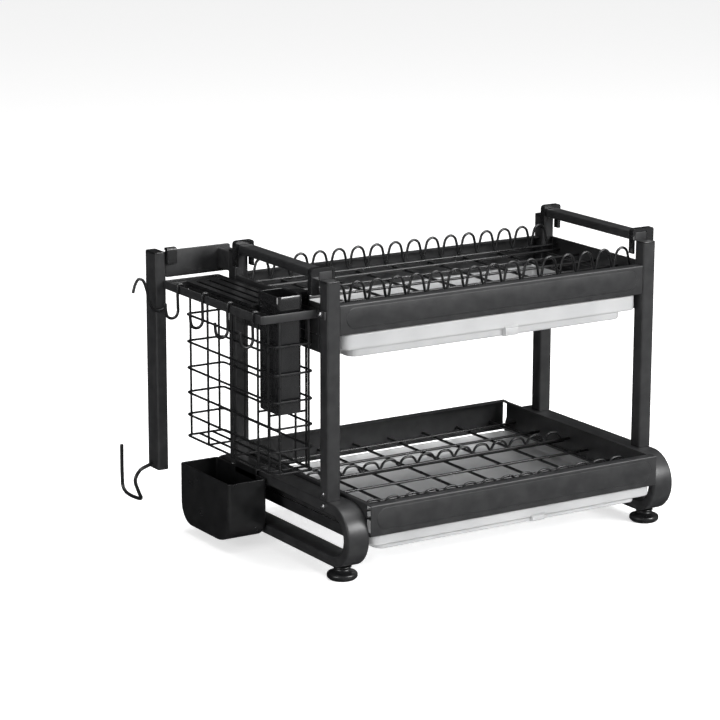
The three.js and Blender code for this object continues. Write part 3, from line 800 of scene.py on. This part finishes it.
def chopstick_box():
    """A tall open box with a wider band at its mouth, hooked over the ring's inner bar."""
    x, _, z = spans("chopstick_box")
    body_x, body_y = (-57.0, -21.0), (81.0, 131.0)
    band = z[1] - 20.0
    # Up the outside and down the inside, as (inset, height, corner radius)
    profile = (
        (2.5, z[0], 3.0), (0.6, z[0] + 0.7, 4.6), (0.0, z[0] + 2.6, 5.0), (0.0, band - 1.4, 5.0),
        (-1.0, band - 0.4, 5.8), (-1.4, band + 0.4, 6.2), (-1.4, z[1] - 0.6, 6.2),
        (-1.0, z[1], 6.0), (1.5, z[1], 3.6), (2.0, z[1] - 0.5, 3.2), (2.0, z[0] + 4.5, 3.2),
        (2.8, z[0] + 2.6, 2.6), (4.5, z[0] + 2.0, 1.6))
    form = Form()
    form.loft([lift("z", rounded_rect(shrink(body_x, d), shrink(body_y, d), r, 8), w)
               for d, w, r in profile])
    hook_root, hook_foot, hook_y = -22.4, 357.3, (95, 117)
    form.prism("y", rounded_polygon((
        (hook_root, z[1] - 2, 0), (x[1] - 2, z[1] - 2, 0.4), (x[1] - 2, hook_foot, 0),
        (x[1], hook_foot, 0), (x[1], z[1], 1.4), (hook_root, z[1], 0))), hook_y)
    stand_in("chopstick_box", form, GLOSS, "gloss_black", "chopstick_box", bevel=0.3, smooth=40)


def knife_holder():
    """A slotted plate lying on the ring, over a smaller slotted block."""
    x, y, z = spans("knife_holder")
    plate = (z[1] - 5, z[1])
    slot_half, slot_y = 2.5, (y[0] + 8, y[1] - 10)
    overlap = 0.02          # keeps the two shells from sharing edges

    def slots(ease):
        return [rounded_rect(shrink((at - slot_half, at + slot_half), -ease), shrink(slot_y, -ease),
                             2.2, 5) for at in KNIFE_SLOTS]

    form = Form()
    form.prism("z", rounded_rect(x, y, 4.0), plate, slots(0))
    form.prism("z", rounded_rect(shrink(x, 2.5), (y[0] + overlap, y[1] - 3), 3.0),
               (z[0], plate[0] + overlap), slots(overlap))
    stand_in("knife_holder", form, MOULDED, "black_plastic", "knife_holder", bevel=0.5, smooth=40)


def utensil_hook(number):
    """A bent wire that saddles the outer bar and turns up away from the rack."""
    name = f"utensil_hook_{number}"
    _, y, z = spans(name)
    at = sum(y) / 2
    bottom = z[0] + HOOK_WIRE / 2
    bar = spans("basket_frame")[0][0]
    clear = HOOK_WIRE / 2 + GAP
    inside, outside = bar + RING_BAR + clear, bar - clear
    tip = outside - 2 * HOOK_RADIUS
    path = (
        (inside, at, HOOK_TOP - 12), (inside, at, HOOK_TOP - 3), (inside - 1, at, HOOK_TOP - 0.4),
        (outside + 1, at, HOOK_TOP - 0.4), (outside, at, HOOK_TOP - 3),
        (outside, at, bottom + 14), (outside, at, bottom + HOOK_RADIUS),
        (outside - 2.6, at, bottom + 2.6), (outside - HOOK_RADIUS, at, bottom),
        (tip + 2.6, at, bottom + 2.6), (tip, at, bottom + HOOK_RADIUS),
        (tip - 1, at, bottom + HOOK_TIP))
    hook = Form()
    hook.tube(catmull(path, 6), HOOK_WIRE / 2, 14)
    stand_in(name, hook, WIRE, "wire_steel", f"hook_{number}")


def board_guard():
    """A wire that curls up and over beside the wing post."""
    at = sum(spans("board_guard")[1]) / 2
    path = ((-83, 321), (-88, 317.5), (-96, 316.5), (-103, 320), (-109, 332),
            (-112, 347), (-118, 361), (-124, 363), (-129, 357), (-133, 345))
    form = Form()
    form.tube(catmull([(px, at, pz) for px, pz in path], 8), 2.0, 14)
    stand_in("board_guard", form, WIRE, "wire_steel")


def board_cradle():
    """A wire that drops from the wing post and turns up behind the cutting boards."""
    path = ((-99.8, 350, 100), (-108, 346, 99), (-123, 342, 95), (-131, 341, 83), (-126, 342, 66),
            (-119, 348, 54), (-117, 360, 50), (-117, 396, 50), (-117, 405, 56), (-117, 407, 72),
            (-117, 407, 116))
    form = Form()
    form.tube(catmull(path, 8), 2.5, 14)
    stand_in("board_cradle", form, WIRE, "wire_steel")


def drip_cup():
    """An open cup whose ends curve in towards its bottom, hooked over the left base loop."""
    _, y, z = spans("drip_cup")

    def ring(height, thick):
        """The cup's outline at a height, inset by thick."""
        drop = max(0.0, z[0] + CUP_BEND - height)
        radius = CUP_BEND - thick
        curve = radius - math.sqrt(max(radius ** 2 - min(drop, radius) ** 2, 0.0))
        corner = 4.0 - min(thick, CUP_WALL) * 0.8
        return lift("z", rounded_rect(shrink(CUP_X, thick), shrink(y, thick + curve), corner), height)

    def risen(thick, degrees):
        return z[0] + thick + (CUP_BEND - thick) * (1 - math.cos(math.radians(degrees)))

    outside = [ring(risen(0.0, a), 0.0) for a in CUP_ARC]
    rim = [ring(CUP_TOP - 0.6, 0.0), ring(CUP_TOP, 0.6),
           ring(CUP_TOP, CUP_WALL - 0.6), ring(CUP_TOP - 0.6, CUP_WALL)]
    inside = [ring(risen(CUP_WALL, a), CUP_WALL) for a in reversed(CUP_ARC)]
    form = Form()
    form.loft(outside + rim + inside)
    wall, back = CUP_X[1] - CUP_WALL, CUP_X[1] - GAP
    hook_root, loop_top, hook_end, hook_y = 90, 103.3, 14, (230, 285)
    form.prism("y", rounded_polygon((
        (wall, hook_root, 0), (back, hook_root, 0), (back, loop_top, 0), (hook_end, loop_top, 0),
        (hook_end, z[1], 1.2), (wall, z[1], 2.0))), hook_y)
    stand_in("drip_cup", form, MOULDED, "black_plastic", "drip_cup", bevel=0.3, smooth=40)


wing_plate()
wing_clip()
basket_frame()
utensil_basket()
chopstick_box()
knife_holder()
for number in range(1, 5):
    utensil_hook(number)
board_guard()
board_cradle()
drip_cup()


# ---- Screws -------------------------------------------------------------------------------
def screw(name, centre, axis, radius=3.6, height=2.6, stands_for=()):
    """A pan head with a hexagon socket."""
    turn = Vector((0, 0, 1)).rotation_difference(Vector(axis))
    middle = Vector(centre)
    sides, across = 48, radius * 0.42

    def ring(r, h, hexagon=False):
        points = []
        for k in range(sides):
            a = 2 * math.pi * k / sides
            reach = r / math.cos((a % (math.pi / 3)) - math.pi / 6) if hexagon else r
            points.append(middle + turn @ Vector((reach * math.cos(a), reach * math.sin(a), h)))
        return points

    head = Form()
    head.loft([
        ring(radius * 0.9, 0), ring(radius, 0.2), ring(radius, 0.8),
        ring(radius * 0.93, height * 0.62), ring(radius * 0.78, height * 0.87),
        ring(radius * 0.62, height), ring(across + 0.12, height, True),
        ring(across, height - 0.12, True), ring(across, height * 0.4, True)])
    make(name, head, STEEL, "screw_steel", "frame", stands_for, smooth=40)


for corner in CORNERS:
    loop_screw = "loop_screw_" + corner
    x, y, z = spans(loop_screw)
    post_x, post_y, post_z = spans("post_" + corner)
    if corner.endswith("right"):
        face, wall, outward = x[0], post_x[1], (1, 0, 0)
    else:
        face, wall, outward = x[1], post_x[0], (-1, 0, 0)
    screw(loop_screw + "_fine", (face, sum(y) / 2, sum(z) / 2), outward, stands_for=(loop_screw,))
    screw("post_screw_" + corner, (wall, sum(post_y) / 2, post_z[0] + 8), outward, 3.0, 2.0)
x, y, z = spans("basket_screw")
screw("basket_screw_fine", (x[1], sum(y) / 2, sum(z) / 2), (-1, 0, 0), stands_for=("basket_screw",))


# ---- Floor, light and camera --------------------------------------------------------------
FLOOR_HALF = 40.0           # metres
PAPER_TONES = ((0.90, 0.90, 0.90), (0.92, 0.92, 0.92))
PAPER_GLOW = 0.60


def floor():
    """A pale seamless floor with a very faint tooth."""
    mesh = bpy.data.meshes.new("studio_floor")
    sheet = ((-1, -1), (1, -1), (1, 1), (-1, 1))
    mesh.from_pydata([(u * FLOOR_HALF, v * FLOOR_HALF, 0) for u, v in sheet], [], [(0, 1, 2, 3)])
    piece = bpy.data.objects.new("studio_floor", mesh)
    bpy.context.scene.collection.objects.link(piece)
    paper = bpy.data.materials.new("studio_paper")
    paper.use_nodes = True
    tree = paper.node_tree
    shader = tree.nodes["Principled BSDF"]
    shader.inputs["Roughness"].default_value = 0.9
    shader.inputs["Specular IOR Level"].default_value = 0.0
    shader.inputs["Emission Color"].default_value = (1.0, 1.0, 1.0, 1.0)
    shader.inputs["Emission Strength"].default_value = PAPER_GLOW
    tree.links.new(ramp(tree, noise(tree, 30.0), *PAPER_TONES), shader.inputs["Base Color"])
    mesh.materials.append(paper)
    piece.visible_glossy = False


def studio_sky():
    """A soft tent of light: brightest ahead of the rack and overhead, dim behind it."""
    world = bpy.data.worlds.new("studio")
    bpy.context.scene.world = world
    world.use_nodes = True
    tree = world.node_tree
    shine = tree.nodes["Background"]
    shine.inputs["Color"].default_value = (1.0, 1.0, 1.0, 1.0)
    where = tree.nodes.new("ShaderNodeTexCoord")

    def lobe(direction, edges, low, high):
        """Rises from low to high as a view turns towards the direction."""
        dot = tree.nodes.new("ShaderNodeVectorMath")
        dot.operation = "DOT_PRODUCT"
        dot.inputs[1].default_value = Vector(direction).normalized()
        tree.links.new(where.outputs["Generated"], dot.inputs[0])
        curve = shader_node(
            tree, "ShaderNodeMapRange",
            From_Min=edges[0], From_Max=edges[1], To_Min=low, To_Max=high)
        curve.interpolation_type = "SMOOTHSTEP"
        tree.links.new(dot.outputs["Value"], curve.inputs["Value"])
        return curve.outputs["Result"]

    ahead = lobe((0.35, -0.90, 0.25), (-0.3, 0.85), 0.02, 0.34)
    above = lobe((0.0, 0.0, 1.0), (0.25, 0.95), 0.0, 0.20)
    total = tree.nodes.new("ShaderNodeMath")
    total.operation = "ADD"
    tree.links.new(ahead, total.inputs[0])
    tree.links.new(above, total.inputs[1])
    tree.links.new(total.outputs["Value"], shine.inputs["Strength"])


def softbox(name, place, size, watts):
    """A rectangular lamp at a place relative to the rack's centre, aimed at it."""
    light = bpy.data.lights.new(name, "AREA")
    light.shape = "RECTANGLE"
    light.size, light.size_y = size
    light.energy = watts
    lamp = bpy.data.objects.new(name, light)
    lamp.location = CENTRE + Vector(place)
    lamp.rotation_mode = "QUATERNION"
    lamp.rotation_quaternion = (CENTRE - lamp.location).to_track_quat("-Z", "Y")
    bpy.context.scene.collection.objects.link(lamp)


CENTRE = (CAD_BOX[0] + CAD_BOX[1]) / 2
floor()
studio_sky()
softbox("front_softbox", (1.5, -2.6, 1.5), (1.6, 0.9), 105.0)
softbox("top_softbox", (0.2, -0.3, 2.6), (2.2, 1.6), 62.0)
softbox("left_softbox", (-2.8, -0.7, 0.7), (1.4, 1.4), 34.0)

VIEW_AZIMUTH, VIEW_ELEVATION, VIEW_ROLL = -32.19, 13.60, 0.14
VIEW_DISTANCE, VIEW_LENS = 3.8396, 139.86
VIEW_AIM = CENTRE + Vector((-0.0441, 0.0245, 0.0324))


def camera():
    data = bpy.data.cameras.new("camera")
    data.sensor_width = 36.0
    data.lens = VIEW_LENS
    eye = bpy.data.objects.new("camera", data)
    a, e = math.radians(VIEW_AZIMUTH), math.radians(VIEW_ELEVATION)
    back = Vector((math.sin(a) * math.cos(e), -math.cos(a) * math.cos(e), math.sin(e)))
    eye.location = VIEW_AIM + back * VIEW_DISTANCE
    eye.rotation_mode = "QUATERNION"
    roll = Quaternion((0, 0, 1), math.radians(VIEW_ROLL))
    eye.rotation_quaternion = (-back).to_track_quat("-Z", "Y") @ roll
    bpy.context.scene.collection.objects.link(eye)
    bpy.context.scene.camera = eye


camera()
bpy.context.scene.view_settings.view_transform = "Standard"
